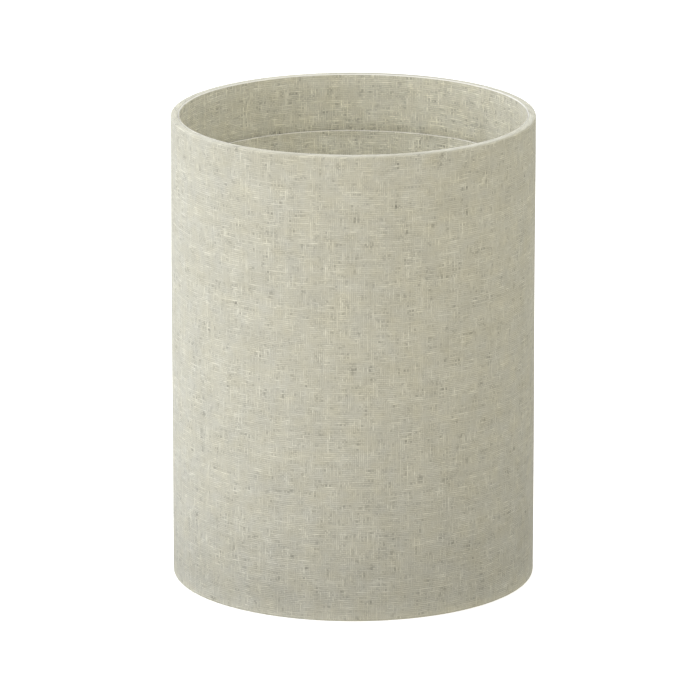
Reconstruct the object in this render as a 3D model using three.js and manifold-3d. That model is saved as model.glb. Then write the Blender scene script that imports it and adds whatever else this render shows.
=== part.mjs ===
// A tall cylindrical lamp shade in linen, 200 mm across and 260 mm high, lined with the same linen.
//
// Two wire rings set its shape. The outer linen is backed with a stiff film and wraps right over both
// rings. Inside, a narrow facing band starts at each rim, and the main lining covers the facings' raw
// edges, standing proud of them. Three wire arms rise from the bottom ring to a hub ring, which a
// lampholder clamps, and a loose plastic ring lies on the hub to suit a smaller lampholder.
//
// Millimetres, +Z up, origin on the axis at the level that the shade stands on. The outer seam is at
// the back, +Y, and the seams of the facings and the lining are at the front, -Y.

import * as THREE from "three";
import { mergeVertices } from "three/addons/utils/BufferGeometryUtils.js";
import Module from "manifold-3d";

// ---------------------------------------------------------------- driving dimensions

const DIAMETER = 200; // over the outer linen
const HEIGHT = 260; // over both rolled rims
const SIDES = 48; // flats round every ring, so that all layers nest flat against each other

// Materials by thickness.
const LINEN = 0.45;
const FILM = 0.3;
const TAPE = 0.15;
const GLUE = 0.1; // clearance that the glue fills between two layers

// Wire frame.
const RING_WIRE = 3.0; // diameter of the ring wire
const ARM_WIRE = 2.8;
const WIRE_FLATS = 8; // flats round a wire
const ARM_COUNT = 3;
const ARM_FOOT_RUN = 5.5; // level run from the bottom ring to the first bend
const ARM_RISE_ANGLE = 62; // degrees above level between the two bends
const ARM_FOOT_BEND = 4.5; // length of wire used up on each side of the first bend
const ARM_TOP_BEND = 6; // and on each side of the second
const ARM_STEPS = 28; // lengths that an arm is drawn in
const WELD_GAP = 0.3; // clearance where a wire meets what it is welded to

// Hub ring: a pressed washer with a turned-down lip.
const HUB_HOLE = 42;
const HUB_DIAMETER = 57.4;
const HUB_SHEET = 1.2;
const HUB_LIP = 3.7; // height over the lip
const HUB_TOP = 31.2; // height of the hub's upper face above the base
const HUB_CORNER = 0.8; // bevel where the lip turns down

// Reducer ring: a flange that lies on the hub, with a spigot through its hole.
const REDUCER_HOLE = 29;
const REDUCER_FLANGE = 49;
const REDUCER_THICK = 1.8;
const REDUCER_SPIGOT = 3;
const REDUCER_WALL = 1.6;
const REDUCER_PLAY = 0.3;
const REDUCER_CORNER = 0.6; // bevel round the flange

// Hems, facings and lining.
const HEM_LEG = 12; // how far the outer linen is turned down inside
const HEM_START = 2; // from the ring's centre to where the rolled hem's solid starts on the wall
const HEM_JOIN = 0.8; // height that it shares with the wall's solid
const HEM_PROUD = 0.02; // the hem stands this far proud of the wall that it is joined to
const ROLL_FLATS = 5; // flats round half of the rolled rim, odd so that one lies level
const FACING_DROP = 0.6; // from the rim down to the facing's edge
const LINING_DROP = 32.5; // from the rim down to the lining's edge
const LINING_OVERLAP = 8; // how far the lining covers each facing
const FIXING_TAPE = 6; // width of the tapes that hold facings and lining
const FILM_DROP = 4.4; // from the rim down to the outer film, which stops under the ring
const SLIT_WIDTH = 5; // of the slits that let the arms through the bottom hem
const SLIT_DEPTH = 8; // how far the cut runs inwards
const SLIT_TOP = 6.4; // height of the slits above the base
const SLIT_BELOW = 1; // how far the cut starts below the base

// Seams, in flats of the ring: how far one end laps over the other, and how far the step takes.
const LAP = 1;
const STEP = 1;
const BUTT_GAP = 0.04; // between the two ends of a facing
const TAPE_MARGIN = 0.1; // of a flat, at each side of a seam tape
const END_MARGIN = 0.1; // of a flat, between a film's end and the seam
const LAP_DEPTH = LINEN + TAPE + 2 * GLUE; // between the two layers of a lap
const LINING_TAPE_SHORT = 2; // the lining's seam tape stops this far inside each edge

// ---------------------------------------------------------------- worked-out places

const RADIUS = DIAMETER / 2;
const WIRE = RING_WIRE / 2;
const ROLL_INSIDE = WIRE + GLUE;
const ROLL = ROLL_INSIDE + LINEN; // radius of the rolled rim
const ROLL_LEVEL = ROLL * Math.cos(Math.PI / (2 * ROLL_FLATS)); // from its centre to its level flat
const RING_RADIUS = RADIUS - ROLL;
const BOTTOM_RING_Z = ROLL_LEVEL;
const TOP_RING_Z = HEIGHT - ROLL_LEVEL;

const OUTER_FILM_RADIUS = RADIUS - LINEN - GLUE;
const LEG_INSIDE = RING_RADIUS - ROLL; // inner face of the turned-down hem
const FACING_TAPE_RADIUS = LEG_INSIDE - GLUE;
const FACING_FILM_RADIUS = FACING_TAPE_RADIUS - TAPE - GLUE;
const FACING_RADIUS = FACING_FILM_RADIUS - FILM - GLUE;
const LINING_TAPE_RADIUS = FACING_RADIUS - LINEN - GLUE;
const LINING_FILM_RADIUS = LINING_TAPE_RADIUS - TAPE - GLUE;
const LINING_RADIUS = LINING_FILM_RADIUS - FILM - GLUE;

const FACING_HEIGHT = LINING_DROP + LINING_OVERLAP - FACING_DROP;
const LINING_HEIGHT = HEIGHT - 2 * LINING_DROP;
const BACK = SIDES / 4; // flat number at +Y
const FRONT = (3 * SIDES) / 4; // flat number at -Y

// ---------------------------------------------------------------- materials

const linen = new THREE.MeshStandardMaterial({ color: 0xbdb9a4, roughness: 0.95, metalness: 0 });
const film = new THREE.MeshStandardMaterial({ color: 0xf2f1ec, roughness: 0.45, metalness: 0 });
const tape = new THREE.MeshStandardMaterial({ color: 0xe9e4d2, roughness: 0.6, metalness: 0 });
const enamel = new THREE.MeshStandardMaterial({ color: 0xe9e8e2, roughness: 0.4, metalness: 0 });
const plastic = new THREE.MeshStandardMaterial({ color: 0xf3f2ee, roughness: 0.5, metalness: 0 });

// ---------------------------------------------------------------- helpers

const wasm = await Module();
wasm.setup();

/** A geometry as a manifold-3d solid. */
function solidOf(geometry) {
  const bare = geometry.clone();
  bare.deleteAttribute("normal");
  bare.deleteAttribute("uv");
  const merged = mergeVertices(bare, 1e-3);
  const vertProperties = merged.attributes.position.array;
  const triVerts = new Uint32Array(merged.index.array);
  return new wasm.Manifold(new wasm.Mesh({ numProp: 3, vertProperties, triVerts }));
}

/** A manifold-3d solid as a geometry. */
function geometryOf(solid) {
  const mesh = solid.getMesh();
  const geometry = new THREE.BufferGeometry();
  geometry.setAttribute("position", new THREE.BufferAttribute(mesh.vertProperties, 3));
  geometry.setIndex(new THREE.BufferAttribute(mesh.triVerts, 1));
  geometry.computeVertexNormals();
  return geometry;
}

/** Turns a closed profile of [radius, height] points, drawn clockwise, round Z. */
function turned(profile) {
  const points = profile.map(([r, z]) => new THREE.Vector2(r, z)).reverse();
  points.push(points[0].clone());
  return new THREE.LatheGeometry(points, SIDES).rotateX(Math.PI / 2);
}

/** A plain band round Z, from its outer radius inwards. */
function band(outerRadius, thickness, bottom, top) {
  const innerRadius = outerRadius - thickness;
  return turned([
    [innerRadius, bottom],
    [innerRadius, top],
    [outerRadius, top],
    [outerRadius, bottom],
  ]);
}

/** Point on the many-sided ring of radius 1, at a whole or part flat number. */
function onRing(flat) {
  const corner = Math.floor(flat);
  const [a, b] = [corner, corner + 1].map((k) => (k * 2 * Math.PI) / SIDES);
  const start = new THREE.Vector2(Math.cos(a), Math.sin(a));
  const end = new THREE.Vector2(Math.cos(b), Math.sin(b));
  return start.lerp(end, flat - corner);
}

/** A strip bent round Z between two flat numbers. inwardAt gives how far in it runs at each flat. */
function strip(outerRadius, thickness, from, to, bottom, top, inwardAt = () => 0) {
  const flats = [from];
  for (let k = Math.floor(from) + 1; k < to; k++) flats.push(k);
  flats.push(to);
  const side = (radius) => flats.map((k) => onRing(k).multiplyScalar(radius - inwardAt(k)));
  const shape = new THREE.Shape([...side(outerRadius), ...side(outerRadius - thickness).reverse()]);
  const depth = top - bottom;
  return new THREE.ExtrudeGeometry(shape, { depth, bevelEnabled: false }).translate(0, 0, bottom);
}

/** A sheet round the shade whose last flat lies over its first one, LAP_DEPTH further in. */
function lappedInside(outerRadius, seam, bottom, top) {
  const end = seam + SIDES;
  const inwardAt = (k) => LAP_DEPTH * THREE.MathUtils.clamp((k - end + STEP) / STEP, 0, 1);
  return strip(outerRadius, LINEN, seam, end + LAP, bottom, top, inwardAt);
}

/** The film behind such a sheet, which stops short of the step. */
function filmBehind(outerRadius, seam, bottom, top) {
  return strip(outerRadius, FILM, seam, seam + SIDES - STEP - END_MARGIN, bottom, top);
}

/** The tape between the two layers of a lap, on the flat that starts at seam. */
function seamTape(outerRadius, seam, bottom, top) {
  return strip(outerRadius, TAPE, seam + TAPE_MARGIN, seam + LAP - TAPE_MARGIN, bottom, top);
}

/** Points of an arc about [r, z], from one angle to another in degrees, with both ends. */
function arc(r, z, radius, from, to, flats) {
  const points = [];
  for (let i = 0; i <= flats; i++) {
    const a = THREE.MathUtils.degToRad(from + ((to - from) * i) / flats);
    points.push([r + radius * Math.cos(a), z + radius * Math.sin(a)]);
  }
  return points;
}

/** The angle of arm number i about Z: the first points to the front. */
const armAngle = (i) => -Math.PI / 2 + (i * 2 * Math.PI) / ARM_COUNT;

/** Cutters for the slits where the arms pass through cloth, as one solid. */
function slits() {
  const cutters = Array.from({ length: ARM_COUNT }, (_, i) => {
    const box = new THREE.BoxGeometry(SLIT_DEPTH, SLIT_WIDTH, SLIT_TOP + SLIT_BELOW);
    box.translate(RING_RADIUS - WIRE / 2 - SLIT_DEPTH / 2, 0, (SLIT_TOP - SLIT_BELOW) / 2);
    return solidOf(box.rotateZ(armAngle(i)));
  });
  return cutters.reduce((all, one) => all.add(one));
}

const group = new THREE.Group();

function add(name, geometry, material) {
  const mesh = new THREE.Mesh(geometry, material);
  mesh.name = name;
  group.add(mesh);
}

// ---------------------------------------------------------------- outer cover

/** The hem that rolls over the top ring and runs down inside. */
function topHemProfile() {
  const start = TOP_RING_Z - HEM_START;
  const end = TOP_RING_Z - HEM_LEG;
  return [
    [RADIUS - LINEN - HEM_PROUD, start],
    ...arc(RING_RADIUS, TOP_RING_Z, ROLL_INSIDE, 0, 180, ROLL_FLATS),
    [RING_RADIUS - ROLL_INSIDE, end],
    [RING_RADIUS - ROLL, end],
    ...arc(RING_RADIUS, TOP_RING_Z, ROLL, 180, 0, ROLL_FLATS),
    [RADIUS, start],
  ];
}

/** The wall between the hems: its first flat lies under its last one, and it steps out after that. */
function outerWall() {
  const inwardAt = (k) => LAP_DEPTH * THREE.MathUtils.clamp((BACK + LAP + STEP - k) / STEP, 0, 1);
  const bottom = BOTTOM_RING_Z + HEM_START - HEM_JOIN;
  const end = BACK + SIDES + LAP;
  return strip(RADIUS - HEM_PROUD, LINEN - 2 * HEM_PROUD, BACK, end, bottom, HEIGHT - bottom, inwardAt);
}

function outerCover() {
  const topHem = topHemProfile();
  const bottomHem = topHem.map(([r, z]) => [r, HEIGHT - z]).reverse();
  const hems = solidOf(turned(topHem)).add(solidOf(turned(bottomHem)));
  add("outer_linen", geometryOf(solidOf(outerWall()).add(hems).subtract(slits())), linen);

  const [bottom, top] = [FILM_DROP, HEIGHT - FILM_DROP];
  const [from, to] = [BACK + LAP + STEP, BACK + SIDES - END_MARGIN];
  add("outer_film", strip(OUTER_FILM_RADIUS, FILM, from, to, bottom, top), film);
  add("outer_seam_tape", seamTape(OUTER_FILM_RADIUS, BACK, bottom, top), tape);
}

// ---------------------------------------------------------------- facings and lining

/** One facing band, whose ends meet at the front, and the tape that holds it to the hem. */
function facing(name, bottom, tapeBottom) {
  const end = FRONT + SIDES - BUTT_GAP;
  const layer = (radius, thickness) => {
    const geometry = strip(radius, thickness, FRONT, end, bottom, bottom + FACING_HEIGHT);
    return geometryOf(solidOf(geometry).subtract(slits()));
  };
  add(`${name}_facing_linen`, layer(FACING_RADIUS, LINEN), linen);
  add(`${name}_facing_film`, layer(FACING_FILM_RADIUS, FILM), film);
  add(`${name}_facing_tape`, band(FACING_TAPE_RADIUS, TAPE, tapeBottom, tapeBottom + FIXING_TAPE), tape);
}

function facings() {
  const hemEnd = BOTTOM_RING_Z + HEM_LEG; // from a rim to the end of its hem
  facing("bottom", FACING_DROP, hemEnd - FIXING_TAPE);
  facing("top", HEIGHT - FACING_DROP - FACING_HEIGHT, HEIGHT - hemEnd);
}

function lining() {
  const [bottom, top] = [LINING_DROP, LINING_DROP + LINING_HEIGHT];
  const seam = FRONT + 2 * LAP; // clear of the place where the facings' ends meet
  add("lining_linen", lappedInside(LINING_RADIUS, seam, bottom, top), linen);
  add("lining_film", filmBehind(LINING_FILM_RADIUS, seam, bottom, top), film);
  const short = LINING_TAPE_SHORT;
  add("lining_seam_tape", seamTape(LINING_RADIUS - LINEN - GLUE, seam, bottom + short, top - short), tape);
  const fixing = (name, from) => add(name, band(LINING_TAPE_RADIUS, TAPE, from, from + FIXING_TAPE), tape);
  const inset = (LINING_OVERLAP - FIXING_TAPE) / 2;
  fixing("lining_bottom_tape", bottom + inset);
  fixing("lining_top_tape", top - inset - FIXING_TAPE);
}

// ---------------------------------------------------------------- wire frame

function ring(name, z) {
  const geometry = new THREE.TorusGeometry(RING_RADIUS, WIRE, WIRE_FLATS, SIDES);
  add(name, geometry.translate(0, 0, z), enamel);
}

/** The centre line of an arm in its own radial plane, from the bottom ring in and up to the hub. */
function armPath() {
  const hubZ = HUB_TOP - HUB_LIP / 2;
  const footEnd = RING_RADIUS - WIRE - WELD_GAP;
  const footBend = footEnd - ARM_FOOT_RUN;
  const topBend = footBend - (hubZ - BOTTOM_RING_Z) / Math.tan(THREE.MathUtils.degToRad(ARM_RISE_ANGLE));
  const hubEnd = HUB_DIAMETER / 2 + WELD_GAP;
  const [start, foot, top, end] = [
    [footEnd, BOTTOM_RING_Z],
    [footBend, BOTTOM_RING_Z],
    [topBend, hubZ],
    [hubEnd, hubZ],
  ].map(([r, z]) => new THREE.Vector3(r, 0, z));
  const along = (from, to, length) => to.clone().sub(from).setLength(length).add(from);
  const beforeFoot = along(foot, start, ARM_FOOT_BEND);
  const afterFoot = along(foot, top, ARM_FOOT_BEND);
  const beforeTop = along(top, foot, ARM_TOP_BEND);
  const afterTop = along(top, end, ARM_TOP_BEND);
  const path = new THREE.CurvePath();
  path.add(new THREE.LineCurve3(start, beforeFoot));
  path.add(new THREE.QuadraticBezierCurve3(beforeFoot, foot, afterFoot));
  path.add(new THREE.LineCurve3(afterFoot, beforeTop));
  path.add(new THREE.QuadraticBezierCurve3(beforeTop, top, afterTop));
  path.add(new THREE.LineCurve3(afterTop, end));
  return path;
}

function arms() {
  const section = new THREE.Shape();
  section.absarc(0, 0, ARM_WIRE / 2, 0, 2 * Math.PI);
  for (let i = 0; i < ARM_COUNT; i++) {
    const settings = { steps: ARM_STEPS, curveSegments: WIRE_FLATS / 2, extrudePath: armPath() };
    const geometry = new THREE.ExtrudeGeometry(section, settings);
    add(`spider_arm_${i + 1}`, geometry.rotateZ(armAngle(i)), enamel);
  }
}

function hub() {
  const [hole, lip] = [HUB_HOLE / 2, HUB_DIAMETER / 2];
  const underside = HUB_TOP - HUB_SHEET;
  const profile = [
    [hole, underside],
    [hole, HUB_TOP],
    [lip - HUB_CORNER, HUB_TOP],
    [lip, HUB_TOP - HUB_CORNER],
    [lip, HUB_TOP - HUB_LIP],
    [lip - HUB_SHEET, HUB_TOP - HUB_LIP],
    [lip - HUB_SHEET, underside],
  ];
  add("hub_ring", turned(profile), enamel);
}

function reducer() {
  const [hole, flange] = [REDUCER_HOLE / 2, REDUCER_FLANGE / 2];
  const spigot = HUB_HOLE / 2 - REDUCER_PLAY;
  const seat = HUB_TOP + REDUCER_PLAY;
  const profile = [
    [hole, seat],
    [hole, seat + REDUCER_THICK],
    [flange - REDUCER_CORNER, seat + REDUCER_THICK],
    [flange, seat + REDUCER_THICK - REDUCER_CORNER],
    [flange, seat],
    [spigot, seat],
    [spigot, seat - REDUCER_SPIGOT],
    [spigot - REDUCER_WALL, seat - REDUCER_SPIGOT],
    [spigot - REDUCER_WALL, seat],
  ];
  add("reducer_ring", turned(profile), plastic);
}

// ---------------------------------------------------------------- assembly

outerCover();
facings();
lining();
ring("top_ring", TOP_RING_Z);
ring("bottom_ring", BOTTOM_RING_Z);
arms();
hub();
reducer();

export default group;
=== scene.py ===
"""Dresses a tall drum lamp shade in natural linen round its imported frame.

The frame gives every node's place and size. Each soft node is replaced by a thin sheet with its real
turnings, laps and cut edges, and each wire, weld and ring by a finely drawn one. Metres, +Z up, front
towards -Y.
"""

import logging
import math
from collections.abc import Callable, Iterable, Sequence
from dataclasses import dataclass, field
from enum import Enum
from typing import Any, Union

import bmesh
import bpy
from mathutils import Matrix, Vector, noise


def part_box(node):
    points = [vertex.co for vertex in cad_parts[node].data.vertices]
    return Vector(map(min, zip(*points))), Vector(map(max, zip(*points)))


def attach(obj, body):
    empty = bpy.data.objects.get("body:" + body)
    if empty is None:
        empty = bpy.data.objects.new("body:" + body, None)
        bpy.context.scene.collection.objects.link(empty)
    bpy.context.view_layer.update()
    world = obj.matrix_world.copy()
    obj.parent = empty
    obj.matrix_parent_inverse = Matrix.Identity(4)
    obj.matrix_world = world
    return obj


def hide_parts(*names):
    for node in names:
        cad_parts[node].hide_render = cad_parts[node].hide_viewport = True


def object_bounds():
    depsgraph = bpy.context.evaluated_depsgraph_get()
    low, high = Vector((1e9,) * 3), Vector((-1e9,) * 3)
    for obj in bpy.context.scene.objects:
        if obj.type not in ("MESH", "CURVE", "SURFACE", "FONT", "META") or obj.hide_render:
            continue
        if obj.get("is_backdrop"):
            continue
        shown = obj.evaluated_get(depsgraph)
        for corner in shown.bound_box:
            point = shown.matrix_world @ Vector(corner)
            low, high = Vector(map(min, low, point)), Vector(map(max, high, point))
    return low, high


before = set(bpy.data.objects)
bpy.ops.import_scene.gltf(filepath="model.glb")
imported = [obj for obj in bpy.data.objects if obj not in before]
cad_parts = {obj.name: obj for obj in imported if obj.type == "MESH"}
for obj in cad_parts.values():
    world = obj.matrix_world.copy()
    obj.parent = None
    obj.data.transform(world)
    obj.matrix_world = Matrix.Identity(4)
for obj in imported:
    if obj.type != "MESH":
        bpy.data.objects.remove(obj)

MM = 0.001
TURN = 2.0 * math.pi
TINY = 1e-6
SHARP = math.radians(38.0)
log = logging.getLogger("lamp_shade")


class Body(Enum):
    """The bodies that pieces ride on."""

    SHADE = "shade"
    REDUCER = "reducer"


class Slot(Enum):
    """The record's material slots."""

    LINEN = "linen"
    FILM = "backing_film"
    TAPE = "adhesive_tape"
    ENAMEL = "white_enamel"
    PLASTIC = "white_plastic"


# ---------------------------------------------------------------- shader maths

Number = Union["Term", float, int]


@dataclass(frozen=True)
class Term:
    """A number that varies over a surface. Sums and products of terms add Math nodes."""

    shader: "Shader"
    socket: bpy.types.NodeSocket

    def __add__(self, other: Number) -> "Term":
        """Self plus other."""
        return self.shader.math("ADD", self, other)

    def __sub__(self, other: Number) -> "Term":
        """Self minus other."""
        return self.shader.math("SUBTRACT", self, other)

    def __rsub__(self, other: Number) -> "Term":
        """Other minus self."""
        return self.shader.math("SUBTRACT", other, self)

    def __mul__(self, other: Number) -> "Term":
        """Self times other."""
        return self.shader.math("MULTIPLY", self, other)

    def __truediv__(self, other: Number) -> "Term":
        """Self over other."""
        return self.shader.math("DIVIDE", self, other)

    def __abs__(self) -> "Term":
        """Self without its sign."""
        return self.shader.math("ABSOLUTE", self)

    __radd__ = __add__
    __rmul__ = __mul__

    def floor(self) -> "Term":
        """The whole number at or below self."""
        return self.shader.math("FLOOR", self)

    def sine(self) -> "Term":
        """The sine of self, in radians."""
        return self.shader.math("SINE", self)

    def clamped(self) -> "Term":
        """Self held between 0 and 1."""
        return self.shader.math("MINIMUM", self.shader.math("MAXIMUM", self, 0.0), 1.0)

    def share(self, gain: float = 2.0) -> "Term":
        """Self, which lies about 0, as a share from 0 to 1."""
        return (self * gain + 0.5).clamped()

    def eased(self, low: float, high: float) -> "Term":
        """Makes a smooth rise.

        Args:
            low: Where self gives 0.
            high: Where self gives 1.

        Returns:
            The rise, level outside low and high.
        """
        sockets = {"Value": self, "From Min": low, "From Max": high}
        made = self.shader.node("ShaderNodeMapRange", {"interpolation_type": "SMOOTHSTEP"}, sockets)
        return Term(self.shader, made.outputs["Result"])


class Shader:
    """The nodes of one material or of the world."""

    def __init__(self, owner: bpy.types.ID) -> None:
        """Starts an empty set of nodes.

        Args:
            owner: The material or the world that they belong to.
        """
        self.owner = owner
        owner.use_nodes = True
        self.tree = owner.node_tree
        self.tree.nodes.clear()

    @staticmethod
    def material(name: str) -> "Shader":
        """Starts a new material."""
        return Shader(bpy.data.materials.new(name))

    def node(self, kind: str, settings: dict[str, Any], sockets: dict[Any, Any]) -> bpy.types.Node:
        """Adds any node.

        Args:
            kind: The node's type name.
            settings: The node's own properties, set before its sockets.
            sockets: What each input holds, by name or number: a value, a Term or a socket to link.

        Returns:
            The new node.
        """
        made = self.tree.nodes.new(kind)
        for name, value in settings.items():
            setattr(made, name, value)
        for name, value in sockets.items():
            given = value.socket if isinstance(value, Term) else value
            if isinstance(given, bpy.types.NodeSocket):
                self.tree.links.new(given, made.inputs[name])
            else:
                made.inputs[name].default_value = given
        return made

    def math(self, operation: str, *values: Number) -> Term:
        """Adds one Math node.

        Args:
            operation: The node's operation.
            values: Its inputs, in order.

        Returns:
            The node's result.
        """
        made = self.node("ShaderNodeMath", {"operation": operation}, dict(enumerate(values)))
        return Term(self, made.outputs[0])

    def vector(self, x: Number, y: Number, z: Number) -> bpy.types.NodeSocket:
        """Three numbers as one vector."""
        return self.node("ShaderNodeCombineXYZ", {}, {"X": x, "Y": y, "Z": z}).outputs[0]

    def mixed(self, factor: Number, low: Any, high: Any) -> bpy.types.NodeSocket:
        """Mixes two colours.

        Args:
            factor: 0 for the low colour, 1 for the high one.
            low: A colour or a colour socket.
            high: A colour or a colour socket.

        Returns:
            The mixed colour.
        """
        settings = {"data_type": "RGBA", "clamp_factor": True}
        sockets = {"Factor": factor, 6: low, 7: high}
        return self.node("ShaderNodeMix", settings, sockets).outputs[2]

    def scaled(self, colour: Any, by: Number) -> bpy.types.NodeSocket:
        """A colour made lighter or darker by a factor."""
        made = self.node("ShaderNodeVectorMath", {"operation": "SCALE"}, {0: colour, "Scale": by})
        return made.outputs[0]

    def sum(self, first: Any, second: Any) -> bpy.types.NodeSocket:
        """Two colours or vectors added up."""
        made = self.node("ShaderNodeVectorMath", {"operation": "ADD"}, {0: first, 1: second})
        return made.outputs[0]

    def noise(self, place: bpy.types.NodeSocket, size: float, layers: float) -> Term:
        """Makes smooth noise.

        Args:
            place: Where the noise is read.
            size: How far apart its bumps are.
            layers: How many finer layers it has.

        Returns:
            The noise, about 0 and mostly between -0.5 and 0.5.
        """
        sockets = {"Vector": place, "Scale": 1.0 / size, "Detail": layers}
        made = self.node("ShaderNodeTexNoise", {"noise_dimensions": "3D"}, sockets)
        return Term(self, made.outputs["Fac"]) - 0.5

    def chance(self, number: Number) -> Term:
        """A random value from -0.5 to 0.5 for each whole number."""
        made = self.node("ShaderNodeTexWhiteNoise", {"noise_dimensions": "1D"}, {"W": number})
        return Term(self, made.outputs["Value"]) - 0.5

    def object_place(self) -> bpy.types.NodeSocket:
        """The place on the object, in metres."""
        return self.node("ShaderNodeTexCoord", {}, {}).outputs["Object"]

    def finish(self, sockets: dict[str, Any], height: Number, depth: float) -> bpy.types.Material:
        """Ends the material in a principled surface with a bump.

        Args:
            sockets: What the surface's sockets hold.
            height: The relief, from 0 to 1.
            depth: The real height of that relief, in metres.

        Returns:
            The finished material.
        """
        bump = self.node("ShaderNodeBump", {}, {"Strength": 1.0, "Distance": depth, "Height": height})
        sockets = {**sockets, "Normal": bump.outputs[0]}
        surface = self.node("ShaderNodeBsdfPrincipled", {}, sockets)
        self.node("ShaderNodeOutputMaterial", {}, {"Surface": surface.outputs[0]})
        return self.owner


# ---------------------------------------------------------------- finishes

Colour = tuple[float, float, float, float]
Texture = tuple[float, float]  # the size of a noise's bumps, and how many finer layers it has
Swing = tuple[float, float]  # the size of a noise's bumps, and how far it moves what it acts on
Edge = tuple[float, float]  # where a noise starts to count, and where it counts in full
Material = bpy.types.Material


@dataclass(frozen=True)
class Linen:
    """Natural linen in a plain weave, with slubs, flecks, threads of uneven tone and painted shade in the
    grooves between threads.

    A contrast is a share of the cloth's own tone. Where the leads add up to 1 the warp lies on top, and where
    they add up to 0 the weft.
    """

    name: str = "natural_linen"
    warm: Colour = (0.560, 0.545, 0.444, 1.0)
    cool: Colour = (0.554, 0.549, 0.474, 1.0)
    hue: Swing = (9.0 * MM, 2.2)
    brightness: float = 0.975
    warp_pitch: float = 1.02 * MM
    weft_pitch: float = 1.06 * MM
    warp_drift: Swing = (26.0 * MM, 2.4 * MM)
    weft_drift: Swing = (20.0 * MM, 2.2 * MM)
    thread_apart: float = 5.37
    slub_length: float = 7.0 * MM
    slub_edge: Edge = (0.05, 0.17)
    slub_contrast: float = 0.10
    thin_contrast: float = 0.24
    thread_contrast: float = 0.11
    grain_length: float = 1.75 * MM
    grain_contrast: float = 0.13
    crossing_lead: float = 0.8
    thick_lead: float = 0.7
    float_lead: Swing = (7.0 * MM, 2.6)
    warp_lead: float = 0.42
    bunch: Swing = (7.0 * MM, 2.7)
    bunch_least: float = 0.15
    painted_groove_shade: float = 0.25
    mean_crown: float = 0.64
    patch: Swing = (20.0 * MM, 0.23)
    fleck_size: float = 1.2 * MM
    fleck_edge: Edge = (0.20, 0.30)
    fleck_contrast: float = 0.10
    relief: float = 0.18 * MM

    def _thread(self, shader: Shader, across: Term, along: Term, seed: float) -> tuple[Term, Term]:
        """Makes the tone and thickness of one set of threads.

        Args:
            shader: The material that is being made.
            across: The place across the threads, in threads.
            along: The place along the threads, in metres.
            seed: Sets this set of threads apart.

        Returns:
            The threads' tone, about 0, and how thick they are, from -1 at thin places to 1 at slubs.
        """
        number = across.floor()
        own = shader.chance(number + seed)
        line = number * self.thread_apart + seed
        uneven = shader.noise(shader.vector(line, along / self.slub_length, seed), 1.0, 1.0)
        grain = shader.noise(shader.vector(line, along / self.grain_length, seed + 40.0), 1.0, 0.0)
        slub, thin = uneven.eased(*self.slub_edge), (0 - uneven).eased(*self.slub_edge)
        tone = slub * self.slub_contrast - thin * self.thin_contrast
        return tone + own * self.thread_contrast + grain * self.grain_contrast, slub - thin

    def material(self) -> Material:
        """Makes the cloth's material.

        Returns:
            The material, which reads the sheet's own map of the cloth.
        """
        shader = Shader.material(self.name)
        cloth = shader.node("ShaderNodeUVMap", {"uv_map": CLOTH_MAP}, {}).outputs[0]
        parts = shader.node("ShaderNodeSeparateXYZ", {}, {"Vector": cloth})
        around, up = Term(shader, parts.outputs["X"]), Term(shader, parts.outputs["Y"])

        def moved(place: bpy.types.NodeSocket, swing: Swing, layers: float) -> Term:
            """Noise of a swing's size and strength."""
            return shader.noise(place, swing[0], layers) * swing[1]

        across_warp = (around + moved(cloth, self.warp_drift, 2.0)) / self.warp_pitch
        across_weft = (up + moved(shader.vector(up, around, 3.0), self.weft_drift, 2.0)) / self.weft_pitch
        warp_tone, warp_thick = self._thread(shader, across_warp, up, 11.0)
        weft_tone, weft_thick = self._thread(shader, across_weft, around, 71.0)
        warp_wave, weft_wave = (across_warp * math.pi).sine(), (across_weft * math.pi).sine()
        lead = warp_wave * weft_wave * self.crossing_lead + (warp_thick - weft_thick) * self.thick_lead
        lead = lead + moved(shader.vector(around, up, 5.0), self.float_lead, 1.0) + self.warp_lead
        lead = lead.clamped()
        tone = warp_tone * lead + weft_tone * (1 - lead)
        crown = abs(warp_wave) * lead + abs(weft_wave) * (1 - lead)
        bunch = moved(shader.vector(up, around, 9.0), self.bunch, 1.0) + 1.0
        bunch = shader.math("MAXIMUM", bunch, self.bunch_least)
        fleck = shader.noise(shader.vector(around, up, 2.0), self.fleck_size, 0.0).eased(*self.fleck_edge)
        # Painted shade: the colour is darkened where the threads' crown is low, in the grooves between them.
        shade = (tone + (crown - self.mean_crown) * self.painted_groove_shade) * bunch - fleck * self.fleck_contrast
        light = shade + moved(cloth, self.patch, 3.0) + self.brightness
        hue = shader.noise(shader.vector(around, up, 0.5), self.hue[0], 2.0).share(self.hue[1])
        surface = {
            "Base Color": shader.scaled(shader.mixed(hue, self.warm, self.cool), light),
            "Roughness": 0.94 - crown * 0.08,
            "Specular IOR Level": 0.2,
            "Sheen Weight": 0.08,
            "Sheen Roughness": 0.5,
            "Sheen Tint": (1.0, 0.97, 0.90, 1.0),
        }
        thick = warp_thick * lead + weft_thick * (1 - lead)
        return shader.finish(surface, (crown * 0.5 + thick * 0.25 + 0.25).clamped(), self.relief)


@dataclass(frozen=True)
class Mottled:
    """A plain finish: clouds of two tones over a fine grain."""

    name: str
    low: Colour
    high: Colour
    cloud: Texture
    grain: Texture
    roughness: float
    cloud_roughness: float
    relief: float
    grain_roughness: float = 0.0
    ior: float = 1.5

    def material(self) -> Material:
        """Makes the finish's material.

        Returns:
            The material.
        """
        shader = Shader.material(self.name)
        cloud, grain = (shader.noise(shader.object_place(), *texture) for texture in (self.cloud, self.grain))
        surface = {
            "Base Color": shader.mixed(cloud.share(), self.low, self.high),
            "Roughness": self.roughness + cloud * self.cloud_roughness + grain * self.grain_roughness,
            "IOR": self.ior,
        }
        return shader.finish(surface, grain + 0.5, self.relief)


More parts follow.
